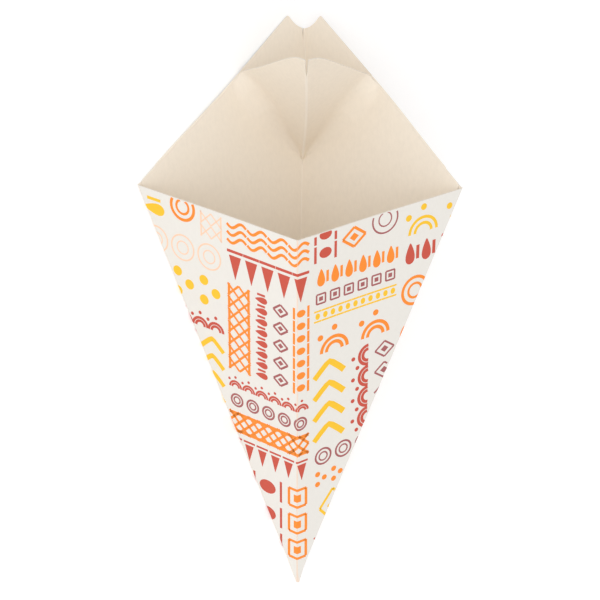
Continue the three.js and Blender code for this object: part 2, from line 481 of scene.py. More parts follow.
@dataclass
class Shell:
    """The four panels of the outer card, from the tip to the front lip and to the high back.

    The tip is the distance from the apex at which the card ends. Up to the distance solid_tip the panels
    touch, so the inner face starts there. The slit is the short cut at the bottom of the thumb notch. The
    curl widens the tip and shifts it sideways, and fades over its length.
    """

    blank: Blank
    fan: Fan
    tip: float = 0.9
    solid_tip: float = 7.0
    rows: int = 90
    crowding: float = 1.35
    peak_round: float = 1.35
    slit_length: float = 4.6
    slit_half: float = np.radians(0.07)
    slit_at: float = np.radians(0.3)
    under_corner: float = 1.5
    under_pocket: float = 0.6
    bow_depth: float = 0.35
    bow_grows: tuple[float, float] = (40.0, 150.0)
    curl_length: float = 2.2
    curl_widening: float = 2.6
    curl_shift: float = 0.5

    def edge(self, angle: Array) -> Array:
        """Return the distance of the card's edge from the apex, at each angle round the fan.

        The lip is a straight line square to the front fold: along / cos(angle). A slanted edge is the line
        along + rise * across = top, and the thumb notch is a circle, joined to it by a soft minimum. Under
        the turned-in ply a slanted edge stands back by the board.

        Args:
            angle: angle round the fan, 0 at the front fold.

        Returns:
            The distances.
        """
        b = self.blank
        lip = b.corner_along / np.cos(np.clip(angle, -b.panel_angle, b.panel_angle))
        off = 2 * b.panel_angle - np.abs(angle)
        slant = b.slant_top / (np.cos(off) + b.slant_rise * np.sin(off))
        middle = b.slant_top - b.notch_drop + b.notch_radius
        under = b.notch_radius**2 - (middle * np.sin(off)) ** 2
        notch = np.where(under > 0, middle * np.cos(off) - np.sqrt(np.maximum(under, 0.0)), FAR)
        back = soft_min(slant, notch, self.peak_round)
        across = slant * np.sin(off)
        gone = (b.corner_across - across) / np.cos(b.slant_angle)
        span = np.where(angle < 0, b.pocket_left, b.pocket_right)
        beside_pocket = smooth_step(span - self.under_pocket, span + self.under_pocket, across)
        back = back - b.board * smooth_step(0.0, self.under_corner, gone) * beside_pocket
        slit = np.clip(1 - np.abs(angle + 2 * b.panel_angle - self.slit_at) / self.slit_half, 0, 1)
        back = back - self.slit_length * slit
        return np.where(np.abs(angle) <= b.panel_angle, lip, back)

    def angles(self) -> Array:
        """Choose the rays, closer together at the folds, the notch and its slit.

        Returns:
            Their angles, in order.
        """
        b = self.blank
        near = np.radians([0.0, 0.04, 0.08, 0.12, 0.17, 0.22, 0.3, 0.4, 0.6, 0.9])
        wide = np.radians(np.arange(1.4, 13.0, 0.75))
        half = np.concatenate([near, wide])
        from_fold = np.concatenate([-half, half])
        folds = np.array([-2, -1, 0, 1, 2]) * b.panel_angle
        rays = (folds[:, None] + from_fold[None, :]).ravel()
        notch = np.radians(np.arange(0.0, 3.2, 0.08))
        slit = -2 * b.panel_angle + self.slit_at + self.slit_half * np.array([-1, -0.5, 0, 0.5, 1])
        turned = [s * np.radians([8.9, 9.05, 9.2, 9.4, 9.6]) for s in (-1, 1)]
        ends = [np.sign(t) * 2 * b.panel_angle - t for t in turned]
        rays = np.concatenate([rays, -2 * b.panel_angle + notch, 2 * b.panel_angle - notch, slit, *ends])
        rays = rays[np.abs(rays) <= 2 * b.panel_angle + TINY]
        return np.unique(np.round(rays, 6))

    def distances(self, angle: Array) -> Array:
        """Return rows of distances along the rays, closer together at the tip.

        Args:
            angle: the rays' angles.

        Returns:
            The distances: a row for each share of the way from the tip to the edge, a column for each ray.
        """
        share = np.linspace(0.0, 1.0, self.rows) ** self.crowding
        return self.tip + share[:, None] * (self.edge(angle) - self.tip)[None, :]

    def bow(self, angle: Array, distance: Array) -> Array:
        """Return how far each panel bows inwards: a squared sine across it, growing to the mouth.

        Args:
            angle: angle round the fan.
            distance: distance from the apex.

        Returns:
            The depths to add.
        """
        a = self.blank.panel_angle
        share = np.abs(np.mod(angle, a)) / a
        return self.bow_depth * np.sin(np.pi * share) ** 2 * smooth_step(*self.bow_grows, distance)

    def surface(self, angle: Array, distance: Array, depth: float | Array) -> Array:
        """Return points of the shell, with its bow, the curl of its tip and the sway of its high back.

        The curl's share is exp(-distance / length). It scales x by 1 + widening * share and adds
        shift * share.

        Args:
            angle: angle round the fan.
            distance: distance from the apex.
            depth: how far under the outer face.

        Returns:
            The points, in the cone's frame.
        """
        points = self.fan.place(angle, distance, depth + self.bow(angle, distance))
        curl = np.exp(-np.maximum(distance, 0.0) / self.curl_length)
        points[..., 0] = points[..., 0] * (1.0 + self.curl_widening * curl) + self.curl_shift * curl
        return SWAY.move(points)

    def build(self, finishes: Sequence[bpy.types.Material]) -> bpy.types.Object:
        """Make the shell: outer faces, inner faces, and the cut edge between them.

        Each vertex keeps its distance from the nearest fold as its mark.

        Args:
            finishes: the card's materials, in the order of Finish.

        Returns:
            The piece.
        """
        sheet = Sheet()
        angle = self.angles()
        distance = self.distances(angle)
        rays = np.broadcast_to(angle, distance.shape)
        outer = self.surface(rays, distance, 0.0)
        start = int(np.argmax(distance[:, 0] > self.solid_tip))
        inner = self.surface(rays[start:], distance[start:], self.blank.board)
        nearest = np.min(np.abs(rays[..., None] - self.fan.angles), axis=-1) * distance
        outside = sheet.grid(outer, Finish.OUTSIDE.value, nearest)
        inside = sheet.grid(inner, Finish.INSIDE.value, nearest[start:], flip=True)
        sheet.band(np.stack([outside[-1], inside[-1]]), Finish.EDGE.value)
        self.cap(sheet, outer[0], outside[0], flip=False)
        self.cap(sheet, inner[0], inside[0], flip=True)
        return sheet.build("cone_shell", finishes)

    @staticmethod
    def cap(sheet: Sheet, ring: Array, number: Array, flip: bool) -> None:
        """Close a small round hole with a row of quads that meet at its middle.

        Args:
            sheet: the sheet that the quads go into.
            ring: the points of the hole's edge. The last one is the first again.
            number: their vertex numbers.
            flip: whether the quads face the other way.
        """
        pole = np.broadcast_to(ring[:-1].mean(axis=0), ring.shape)
        middle = np.arange(len(ring)) + sheet.count
        sheet.points.append(pole)
        sheet.marks.append(np.full(len(ring), 1.0))
        sheet.count += len(ring)
        sheet.band(np.stack([middle, number]), Finish.OUTSIDE.value, flip)


@dataclass
class Pocket:
    """The inner ply: glued to the back panels, and pushed forward above its creases as the sauce pocket.

    Its fan is folded round the pocket's bottom. The angle 0 points down the back fold, the left and right
    angles are the creases that end the pocket, and the seam is the angle of its middle crease.
    """

    blank: Blank
    rows: int = 70
    crowding: float = 1.25
    glue: float = 0.02
    lip_round: float = 2.0
    slit_length: float = 8.6
    slit_half: float = np.radians(0.48)
    bulge: float = 0.5
    bulge_grows: tuple[float, float] = (8.0, 34.0)
    dimple: float = -0.55
    dimple_at: float = 7.0
    dimple_spread: float = 5.0
    along_start: float = field(init=False)
    bottom: Array = field(init=False)
    left_angle: float = field(init=False)
    right_angle: float = field(init=False)
    seam: float = field(init=False)
    fan: Fan = field(init=False)

    def __post_init__(self) -> None:
        """Find the pocket's bottom and ends on the inner face, and fold the ply round its bottom.

        The middle crease k keeps its angles to the two end creases: with l and r for those creases and n
        for the normal of their plane, k = a l + b r + c n, where a and b solve the two angles and c makes
        the length one. The swing makes the left angle larger and the right one smaller.
        """
        b = self.blank
        normal = unit(np.cross(b.back_fold, b.left_fold))
        inward = normal if normal[1] < 0 else -normal
        rise = b.board / inward[2]
        inner_apex = np.array([0.0, 0.0, rise])
        self.along_start = b.slant_top - b.pocket_depth
        self.bottom = inner_apex + b.back_fold * (self.along_start - inner_apex @ b.back_fold)
        ends = []
        for side, span in ((-1, b.pocket_left), (1, b.pocket_right)):
            face = inward * [-side, 1, 1] if inward[0] * side > 0 else inward
            flat = b.back_fold * (b.slant_top - span * b.slant_rise) + b.slant_across(side) * span
            ends.append(flat + face * b.board)
        left, right = (unit(e - self.bottom) for e in ends)
        to_left, to_right = (np.arccos(end @ b.back_fold) for end in (left, right))
        cosines = np.cos([to_left + b.pocket_swing, to_right - b.pocket_swing])
        between = left @ right
        share = np.linalg.solve([[1.0, between], [between, 1.0]], cosines)
        inplane = share[0] * left + share[1] * right
        hinge = unit(np.cross(right, left))
        hinge = hinge if hinge[1] < 0 else -hinge
        crease = inplane + hinge * np.sqrt(1.0 - inplane @ inplane)
        self.left_angle = np.pi - to_left
        self.right_angle = np.pi - to_right
        self.seam = self.left_angle + np.arccos(left @ crease)
        folds = np.array([crease, left, -b.back_fold, right, crease])
        angles = np.array([-self.seam, -self.left_angle, 0.0, self.right_angle, 2 * np.pi - self.seam])
        radii = np.array([0.45, 9.5, 0.75, 9.5, 0.45])
        in_mouth = np.array([0.0, -4.0, 150.0])
        self.fan = Fan(self.bottom, angles, folds, radii, in_mouth, taper=2.8, tighten=(35.0, 48.0))

    def edge(self, angle: Array) -> Array:
        """Return the distance of the ply's edge from the pocket's bottom, at each angle round the fan.

        Every edge is a straight line in the flat: the lower edge, the edge beside the side fold and the
        turned slanted edge on the panels, and the pocket's lip, whose sloping ends a soft minimum joins to
        its flat top. A line along * x + across * y = constant lies at the distance
        constant / (along * cosine + across * sine), with the cosine and the sine of the ray's angle from
        the back fold.

        Args:
            angle: angle round the fan.

        Returns:
            The distances.
        """
        b = self.blank
        on_left = angle < 0
        turn = np.abs(angle)
        span = np.where(on_left, b.pocket_left, b.pocket_right)
        crease = np.where(on_left, self.left_angle, self.right_angle)
        above = smooth_step(0.0, 0.4, turn - crease) * b.pocket_swing
        turn = np.where(on_left, turn - above, turn + above)
        cosine, sine = -np.cos(turn), np.sin(turn)

        def line(constant: Array | float, along: float, across: float) -> Array:
            """Find where the rays meet a line.

            Args:
                constant: the line's constant.
                along: its factor of the distance along the back fold.
                across: its factor of the distance across from it.

            Returns:
                The distances to it, far away where a ray doesn't meet it.
            """
            slope = along * cosine + across * sine
            least = 1e-6
            return np.where(slope > least, constant / np.maximum(slope, least), FAR)

        lower = line(b.ply_below, -1.0, 0.0)
        beside = self.along_start * np.sin(b.panel_angle) - b.ply_clear
        side = line(beside, -np.sin(b.panel_angle), np.cos(b.panel_angle))
        slanted = line(b.pocket_depth - b.board / np.cos(b.slant_angle), 1.0, b.slant_rise)
        end = b.pocket_depth - span * b.slant_rise
        top = b.pocket_depth - b.lip_drop
        rise = (top - end) / (span - b.lip_flat)
        lip = line(end + span * rise, 1.0, rise)
        humps = soft_min(lip, line(top, 1.0, 0.0), self.lip_round)
        slit = np.clip(1 - np.abs(np.pi - turn) / self.slit_half, 0, 1) * self.slit_length
        under = np.minimum(np.minimum(lower, side), slanted)
        blend = smooth_step(-0.01, 0.03, turn - crease)
        return under * (1 - blend) + (humps - slit) * blend

    def angles(self) -> Array:
        """Choose the rays, closer together at the folds, the corners and the lip.

        Returns:
            Their angles, in order.
        """
        even = np.linspace(-self.seam, 2 * np.pi - self.seam, 241)
        near = np.radians([-3, -2, -1.4, -0.9, -0.5, -0.2, 0, 0.2, 0.5, 0.9, 1.4, 2, 3])
        folds = [f + near for f in (-self.left_angle, 0.0, self.right_angle)]
        off_middle = np.radians(np.concatenate([np.arange(0.0, 0.7, 0.07), np.arange(0.7, 11.0, 0.4)]))
        middle = [off_middle - self.seam, 2 * np.pi - self.seam - off_middle]
        wide = np.radians(np.linspace(-22.0, 22.0, 45))
        rolls = [f + wide for f in (-self.left_angle, self.right_angle)]
        corners = [s * np.radians(np.arange(60.0, 128.0, 0.75)) for s in (-1, 1)]
        rays = np.concatenate([even, *folds, *middle, *rolls, *corners])
        kept = (rays >= -self.seam - TINY) & (rays <= 2 * np.pi - self.seam + TINY)
        return np.unique(np.round(rays[kept], 6))

    def soften(self, angle: Array, distance: Array) -> Array:
        """Return how far the pocket's halves bulge towards the cone.

        Each half bows out between its crease and the middle one: a squared sine across it, growing with the
        distance. Just above the bottom, where the creases run together, it dimples in by a bell.

        Args:
            angle: angle round the fan.
            distance: distance from the pocket's bottom.

        Returns:
            The depths to add.
        """
        turn = np.abs(angle)
        crease = np.where(angle < 0, self.left_angle, self.right_angle)
        middle = np.where(angle < 0, self.seam, 2 * np.pi - self.seam)
        share = np.clip((turn - crease) / (middle - crease), 0.0, 1.0)
        across = np.sin(np.pi * share) ** 2
        bulge = self.bulge * across * smooth_step(*self.bulge_grows, distance)
        dimple = self.dimple * np.exp(-(((distance - self.dimple_at) / self.dimple_spread) ** 2)) * across
        return bulge + dimple

    def surface(self, angle: Array, distance: Array, depth: float | Array) -> Array:
        """Return points of the ply, with its bulges and the sway of the high back.

        Args:
            angle: angle round the fan.
            distance: distance from the pocket's bottom.
            depth: how far inwards from the face that is glued to the panels.

        Returns:
            The points, in the cone's frame.
        """
        points = self.fan.place(angle, distance, depth + self.soften(angle, distance))
        return SWAY.move(points)

    def build(self, finishes: Sequence[bpy.types.Material]) -> bpy.types.Object:
        """Make the ply: the bare face towards the cone, the face towards the pocket, and its cut edge.

        Args:
            finishes: the card's materials, in the order of Finish.

        Returns:
            The piece.
        """
        sheet = Sheet()
        angle = self.angles()
        share = np.linspace(0.0, 1.0, self.rows) ** self.crowding
        distance = share[:, None] * self.edge(angle)[None, :]
        rays = np.broadcast_to(angle, distance.shape)
        sharp = self.fan.angles[[0, 2, 4]]
        nearest = np.min(np.abs(rays[..., None] - sharp), axis=-1) * distance
        bare = self.surface(rays, distance, self.blank.board)
        glued = self.surface(rays, distance, self.glue)
        front = sheet.grid(bare, Finish.INSIDE.value, nearest)
        back = sheet.grid(glued, Finish.INSIDE.value, nearest, flip=True)
        sheet.band(np.stack([front[-1], back[-1]]), Finish.EDGE.value)
        return sheet.build("inner_ply", finishes)


@dataclass
class TurnedEdge:
    """The roll of card where the ply turns in over a slanted edge, from near the corner to the pocket.

    The side is -1 for the left edge and 1 for the right one. The roll runs past the pocket's end by the
    overrun. It fades to the share end_size over the lengths fade_low and fade_high of its ends.
    """

    blank: Blank
    side: float
    overrun: float = 1.5
    end_size: float = 0.25
    fade_low: float = 0.8
    fade_high: float = 2.0
    flatness: float = 0.6
    rows: int = 60
    columns: int = 25

    def build(self, finishes: Sequence[bpy.types.Material]) -> bpy.types.Object:
        """Carry a profile along the slanted edge: a circle of the board's thickness with a flattened back.

        Args:
            finishes: the card's materials, in the order of Finish.

        Returns:
            The piece.
        """
        b = self.blank
        across_dir = b.slant_across(self.side)
        normal = unit(np.cross(b.back_fold, across_dir))
        inward = normal if normal[1] < 0 else -normal
        span = b.pocket_left if self.side < 0 else b.pocket_right
        length = (b.corner_across - span) / np.cos(b.slant_angle) + self.overrun
        steps = np.linspace(b.turn_start, length, self.rows)
        along = b.corner_along + steps * np.sin(b.slant_angle)
        across = b.corner_across - steps * np.cos(b.slant_angle)
        path = along[:, None] * b.back_fold + across[:, None] * across_dir
        outward = np.cos(b.slant_angle) * b.back_fold + np.sin(b.slant_angle) * across_dir
        turn = np.linspace(0.0, 2 * np.pi, self.columns)
        bulge = np.where(np.cos(turn) > 0, np.cos(turn), self.flatness * np.cos(turn))
        fade = smooth_step(0.0, self.fade_low, steps - b.turn_start)
        fade = fade * smooth_step(0.0, self.fade_high, length - steps)
        size = b.board * (self.end_size + (1.0 - self.end_size) * fade)
        profile = bulge[:, None] * outward + np.sin(turn)[:, None] * inward
        offset = size[:, None, None] * profile + b.board * (inward - outward)
        points = SWAY.move(path[:, None, :] + offset)
        sheet = Sheet()
        number = sheet.grid(points, Finish.INSIDE.value, 1.0, flip=self.side < 0)
        Shell.cap(sheet, points[0], number[0], flip=self.side > 0)
        Shell.cap(sheet, points[-1], number[-1], flip=self.side < 0)
        name = "turned_edge_left" if self.side < 0 else "turned_edge_right"
        return sheet.build(name, finishes)


@dataclass
class GlueTab:
    """The tab of the front right panel, folded in and glued over the ply on the back right panel.

    It runs along the right side fold from the distance low to short of the lip corner by top. Its upper end
    narrows over the length taper. Its width starts at the share fold_gap and is never under least_width of
    the whole.
    """

    blank: Blank
    shell: Shell
    width: float = 11.0
    low: float = 9.0
    top: float = 2.8
    taper: float = 7.0
    fold_gap: float = 0.03
    least_width: float = 0.02
    rows: int = 70
    columns: int = 9

    def build(self, finishes: Sequence[bpy.types.Material]) -> bpy.types.Object:
        """Make the tab: distances along the side fold and across from it, turned into fan coordinates.

        Args:
            finishes: the card's materials, in the order of Finish.

        Returns:
            The piece.
        """
        b = self.blank
        along = np.linspace(self.low, b.side_fold - self.top, self.rows)
        lower = smooth_step(0.0, 2 * self.width, along - self.low)
        upper = np.clip((b.side_fold - self.top - along) / self.taper, 0.0, 1.0)
        width = self.width * np.maximum(np.minimum(lower, upper), self.least_width)
        share = np.linspace(self.fold_gap, 1.0, self.columns)
        across = share[None, :] * width[:, None]
        distance = np.hypot(along[:, None], across)
        angle = b.panel_angle + np.arctan2(across, along[:, None])
        face = self.shell.surface(angle, distance, 3 * b.board)
        under = self.shell.surface(angle, distance, 2 * b.board)
        sheet = Sheet()
        top = sheet.grid(face, Finish.INSIDE.value, flip=True)
        low = sheet.grid(under, Finish.INSIDE.value)
        sheet.band(np.stack([top[:, -1], low[:, -1]]), Finish.EDGE.value)
        sheet.band(np.stack([top[:, 0], low[:, 0]]), Finish.EDGE.value, flip=True)
        sheet.band(np.stack([top[0], low[0]]), Finish.EDGE.value)
        sheet.band(np.stack([top[-1], low[-1]]), Finish.EDGE.value, flip=True)
        return sheet.build("glue_tab", finishes)


class Motif(Enum):
    """The repeated shapes of the print, one for each strip."""

    STICKS = 0
    RINGS = 1
    WAVES = 2
    PENNANTS = 3
    DROPS = 4
    DOTS = 5
    LATTICE = 6
    CHEVRONS = 7
    FRAMES = 8
    DIAMONDS = 9
    SCALLOPS = 10
    BEADS = 11


class Ink(Enum):
    """The inks of the print, in sRGB."""

    BRICK = (200, 80, 62)
    ORANGE = (250, 140, 40)
    YELLOW = (248, 196, 40)
    PEACH = (250, 208, 178)
    MAROON = (165, 92, 92)


@dataclass(frozen=True)
class Ribbon:
    """One printed stroke in the flat: the points of its middle line, and half its width at each."""

    line: Array
    half: Array


def stroke(x: Array, y: Array, half: Array | float) -> Ribbon:
    """Return the ribbon through the points."""
    line = np.stack(np.broadcast_arrays(np.asarray(x, float), np.asarray(y, float)), axis=-1)
    return Ribbon(line, np.broadcast_to(np.asarray(half, float), len(line)))


def bar(start: tuple[float, float], end: tuple[float, float], half: float) -> Ribbon:
    """Return a straight ribbon, with a point about every 1.5 mm.

    Args:
        start: where it starts.
        end: where it ends.
        half: half its width.

    Returns:
        The ribbon.
    """
    spacing = 1.5
    count = max(2, int(np.hypot(end[0] - start[0], end[1] - start[1]) / spacing) + 1)
    return stroke(np.linspace(start[0], end[0], count), np.linspace(start[1], end[1], count), half)


def arc(middle: tuple[float, float], radius: float, turn: tuple[float, float], half: float) -> Ribbon:
    """Return a ribbon along an arc, with a point about every 1.2 mm.

    Args:
        middle: its centre.
        radius: its radius.
        turn: its first and last angle.
        half: half its width.

    Returns:
        The ribbon.
    """
    spacing = 1.2
    count = max(6, int(abs(turn[1] - turn[0]) * radius / spacing) + 4)
    angle = np.linspace(turn[0], turn[1], count)
    return stroke(middle[0] + radius * np.cos(angle), middle[1] + radius * np.sin(angle), half)


def blob(middle: tuple[float, float], width: float, height: float, lean: float = 0.0) -> Ribbon:
    """Return a filled drop: its half width is w sin(t) (1 - lean cos(t)) over its height h cos(t).

    Args:
        middle: its centre.
        width: half its width, w.
        height: half its height, h.
        lean: how much fuller its lower end is.

    Returns:
        The ribbon.
    """
    t = np.linspace(0.12, np.pi - 0.12, 10)
    half = width * np.sin(t) * (1 - lean * np.cos(t))
    return stroke(np.full(10, middle[0]), middle[1] + height * np.cos(t), half)


@dataclass(frozen=True)
class Stencil:
    """The motifs for one strip. Each method returns a motif's pitch along the strip and one pitch of it.

    The strokes lie round the origin. Most lengths in them are shares of the strip's height, and the line is
    half the width of a thin stroke.
    """

    height: float
    line: float

    @property
    def thin(self) -> float:
        """Half the width of a thin stroke, held down where the strip is small."""
        return min(self.line, 0.075 * self.height)

    def cut(self, motif: Motif) -> tuple[float, list[Ribbon]]:
        """Cut one motif.

        Args:
            motif: the motif.

        Returns:
            Its pitch and its strokes.
        """
        makers = {
            Motif.STICKS: self.sticks,
            Motif.RINGS: self.rings,
            Motif.WAVES: self.waves,
            Motif.PENNANTS: self.pennants,
            Motif.DROPS: self.drops,
            Motif.DOTS: self.dots,
            Motif.LATTICE: self.lattice,
            Motif.CHEVRONS: self.chevrons,
            Motif.FRAMES: self.frames,
            Motif.DIAMONDS: self.diamonds,
            Motif.SCALLOPS: self.scallops,
            Motif.BEADS: self.beads,
        }
        return makers[motif]()

    def sticks(self) -> tuple[float, list[Ribbon]]:
        """Cut four leaning sticks of different lengths.

        Returns:
            The pitch and the strokes.
        """
        h = self.height
        stands = zip((-0.42, -0.14, 0.14, 0.42), (0.5, 0.36, 0.46, 0.3))
        ends = [((x * h - 0.06 * h, -0.5 * h), (x * h + 0.06 * h, top * h)) for x, top in stands]
        return 1.18 * h, [bar(low, high, 0.085 * h) for low, high in ends]

    def rings(self) -> tuple[float, list[Ribbon]]:
        """Cut two rings, one inside the other.

        Returns:
            The pitch and the strokes.
        """
        h, w, full = self.height, self.thin, (0, 2 * np.pi)
        return 1.08 * h, [arc((0, 0), 0.5 * h - w, full, w), arc((0, 0), 0.24 * h, full, 0.8 * w)]

    def waves(self) -> tuple[float, list[Ribbon]]:
        """Cut one wave of three lines over each other.

        Returns:
            The pitch and the strokes.
        """
        h = self.height
        x = np.linspace(-0.45 * h, 0.45 * h, 13)
        swell = 0.13 * h * np.sin(2 * np.pi * x / (0.9 * h))
        half = min(self.thin, 0.06 * h)
        return 0.9 * h, [stroke(x, swell + level * h, half) for level in (-0.32, 0.0, 0.32)]

    def pennants(self) -> tuple[float, list[Ribbon]]:
        """Cut a pointed flag that hangs from a rope.

        Returns:
            The pitch and the strokes.
        """
        h = self.height
        rope = bar((-0.3 * h, 0.44 * h), (0.3 * h, 0.44 * h), 0.7 * self.thin)
        y = np.linspace(-0.5 * h, 0.3 * h, 6)
        return 0.6 * h, [rope, stroke(0 * y, y, np.linspace(0.05, 0.23 * h, 6))]

    def drops(self) -> tuple[float, list[Ribbon]]:
        """Cut a drop, and a short bar beside it.

        Returns:
            The pitch and the strokes.
        """
        h = self.height
        beside = bar((0.36 * h, -0.3 * h), (0.36 * h, 0.3 * h), self.thin)
        return 0.72 * h, [blob((0, 0), 0.2 * h, 0.46 * h, 0.55), beside]

    def dots(self) -> tuple[float, list[Ribbon]]:
        """Cut three dots, the middle one to the side.

        Returns:
            The pitch and the strokes.
        """
        h = self.height
        spots = ((-0.2, 0.3), (0.2, 0.0), (-0.2, -0.3))
        return 0.8 * h, [blob((x * h, y * h), 0.15 * h, 0.15 * h) for x, y in spots]

    def lattice(self) -> tuple[float, list[Ribbon]]:
        """Cut crossed slanting lines between two rails.

        Returns:
            The pitch and the strokes.
        """
        h, w = self.height, self.thin
        half, side = 0.5 * h, 0.25 * h
        rails = [bar((-side, y), (side, y), w) for y in (-half + w, half - w)]
        turns = [(s, y) for s in (-1, 1) for y in (-half, 0.0)]
        return 0.5 * h, rails + [bar((-side, s * y), (side, s * (y + 0.5 * h)), 0.8 * w) for s, y in turns]

    def chevrons(self) -> tuple[float, list[Ribbon]]:
        """Cut a thick arrow head along the strip.

        Returns:
            The pitch and the strokes.
        """
        h = self.height
        x = np.array([-0.2, -0.02, 0.16, 0.22, 0.16, -0.02, -0.2]) * h
        y = np.array([0.48, 0.3, 0.1, 0.0, -0.1, -0.3, -0.48]) * h
        return 0.62 * h, [stroke(x, y, 0.09 * h)]

    def frames(self) -> tuple[float, list[Ribbon]]:
        """Cut a square frame round a filled square.

        Returns:
            The pitch and the strokes.
        """
        h, w = self.height, self.thin
        side = 0.46 * h - w
        corners = [(-side, -side), (side, -side), (side, side), (-side, side), (-side, -side)]
        rim = [bar(start, end, w) for start, end in zip(corners, corners[1:])]
        return 1.06 * h, rim + [bar((-0.17 * h, 0.0), (0.17 * h, 0.0), 0.17 * h)]

    def diamonds(self) -> tuple[float, list[Ribbon]]:
        """Cut an upright diamond frame round a filled diamond.

        Returns:
            The pitch and the strokes.
        """
        h = self.height
        size = 0.3 * h
        side, top = size + 0.06 * h, size + 0.16 * h
        corners = [(-side, 0.0), (0.0, top), (side, 0.0), (0.0, -top), (-side, 0.0)]
        rim = [bar(start, end, self.thin) for start, end in zip(corners, corners[1:])]
        x = np.linspace(-size, size, 7) * 0.5
        return 0.92 * h, rim + [stroke(x, 0 * x, np.maximum(0.62 * size - 1.2 * np.abs(x), 0.05))]

    def scallops(self) -> tuple[float, list[Ribbon]]:
        """Cut two half hoops, a dot over them and a dot between them and the next.

        Returns:
            The pitch and the strokes.
        """
        h = self.height
        hoops = [arc((0, -0.45 * h), r * h, (0.0, np.pi), self.thin) for r in (0.46, 0.28)]
        spots = ((0.0, 0.32 * h), (-0.5 * h, 0.1 * h))
        return 1.0 * h, hoops + [blob(spot, 0.1 * h, 0.1 * h) for spot in spots]

    def beads(self) -> tuple[float, list[Ribbon]]:
        """Cut a bead between two rails.

        Returns:
            The pitch and the strokes.
        """
        h = self.height
        rails = [bar((-0.35 * h, y * h), (0.35 * h, y * h), self.thin) for y in (-0.46, 0.46)]
        return 0.7 * h, rails + [blob((0, 0), 0.22 * h, 0.28 * h)]


FILLED = (Motif.STICKS, Motif.DROPS, Motif.DOTS, Motif.CHEVRONS, Motif.BEADS, Motif.PENNANTS)
LINED = tuple(motif for motif in Motif if motif not in FILLED)
BOLD_INKS = (Ink.BRICK, Ink.ORANGE, Ink.YELLOW)
THIN_INKS = (Ink.PEACH, Ink.MAROON)


@dataclass(frozen=True)
class Strip:
    """One strip of the print: its ink, its middle and direction in the flat, its size, motif and line."""

    ink: Ink
    middle: Array
    way: Array
    length: float
    height: float
    motif: Motif
    line: float

    def ribbons(self) -> list[Ribbon]:
        """Repeat the motif along the strip, as often as it fits, with the pitch stretched to fill it.

        Returns:
            The strokes, in flat coordinates.
        """
        pitch, marks = Stencil(self.height, self.line).cut(self.motif)
        count = max(1, int(self.length / pitch))
        pitch = self.length / count
        square = np.array([-self.way[1], self.way[0]])
        found = []
        for place in (np.arange(count) - (count - 1) / 2) * pitch:
            for mark in marks:
                along = (mark.line[:, :1] + place) * self.way
                found.append(Ribbon(self.middle + along + mark.line[:, 1:] * square, mark.half))
        return found


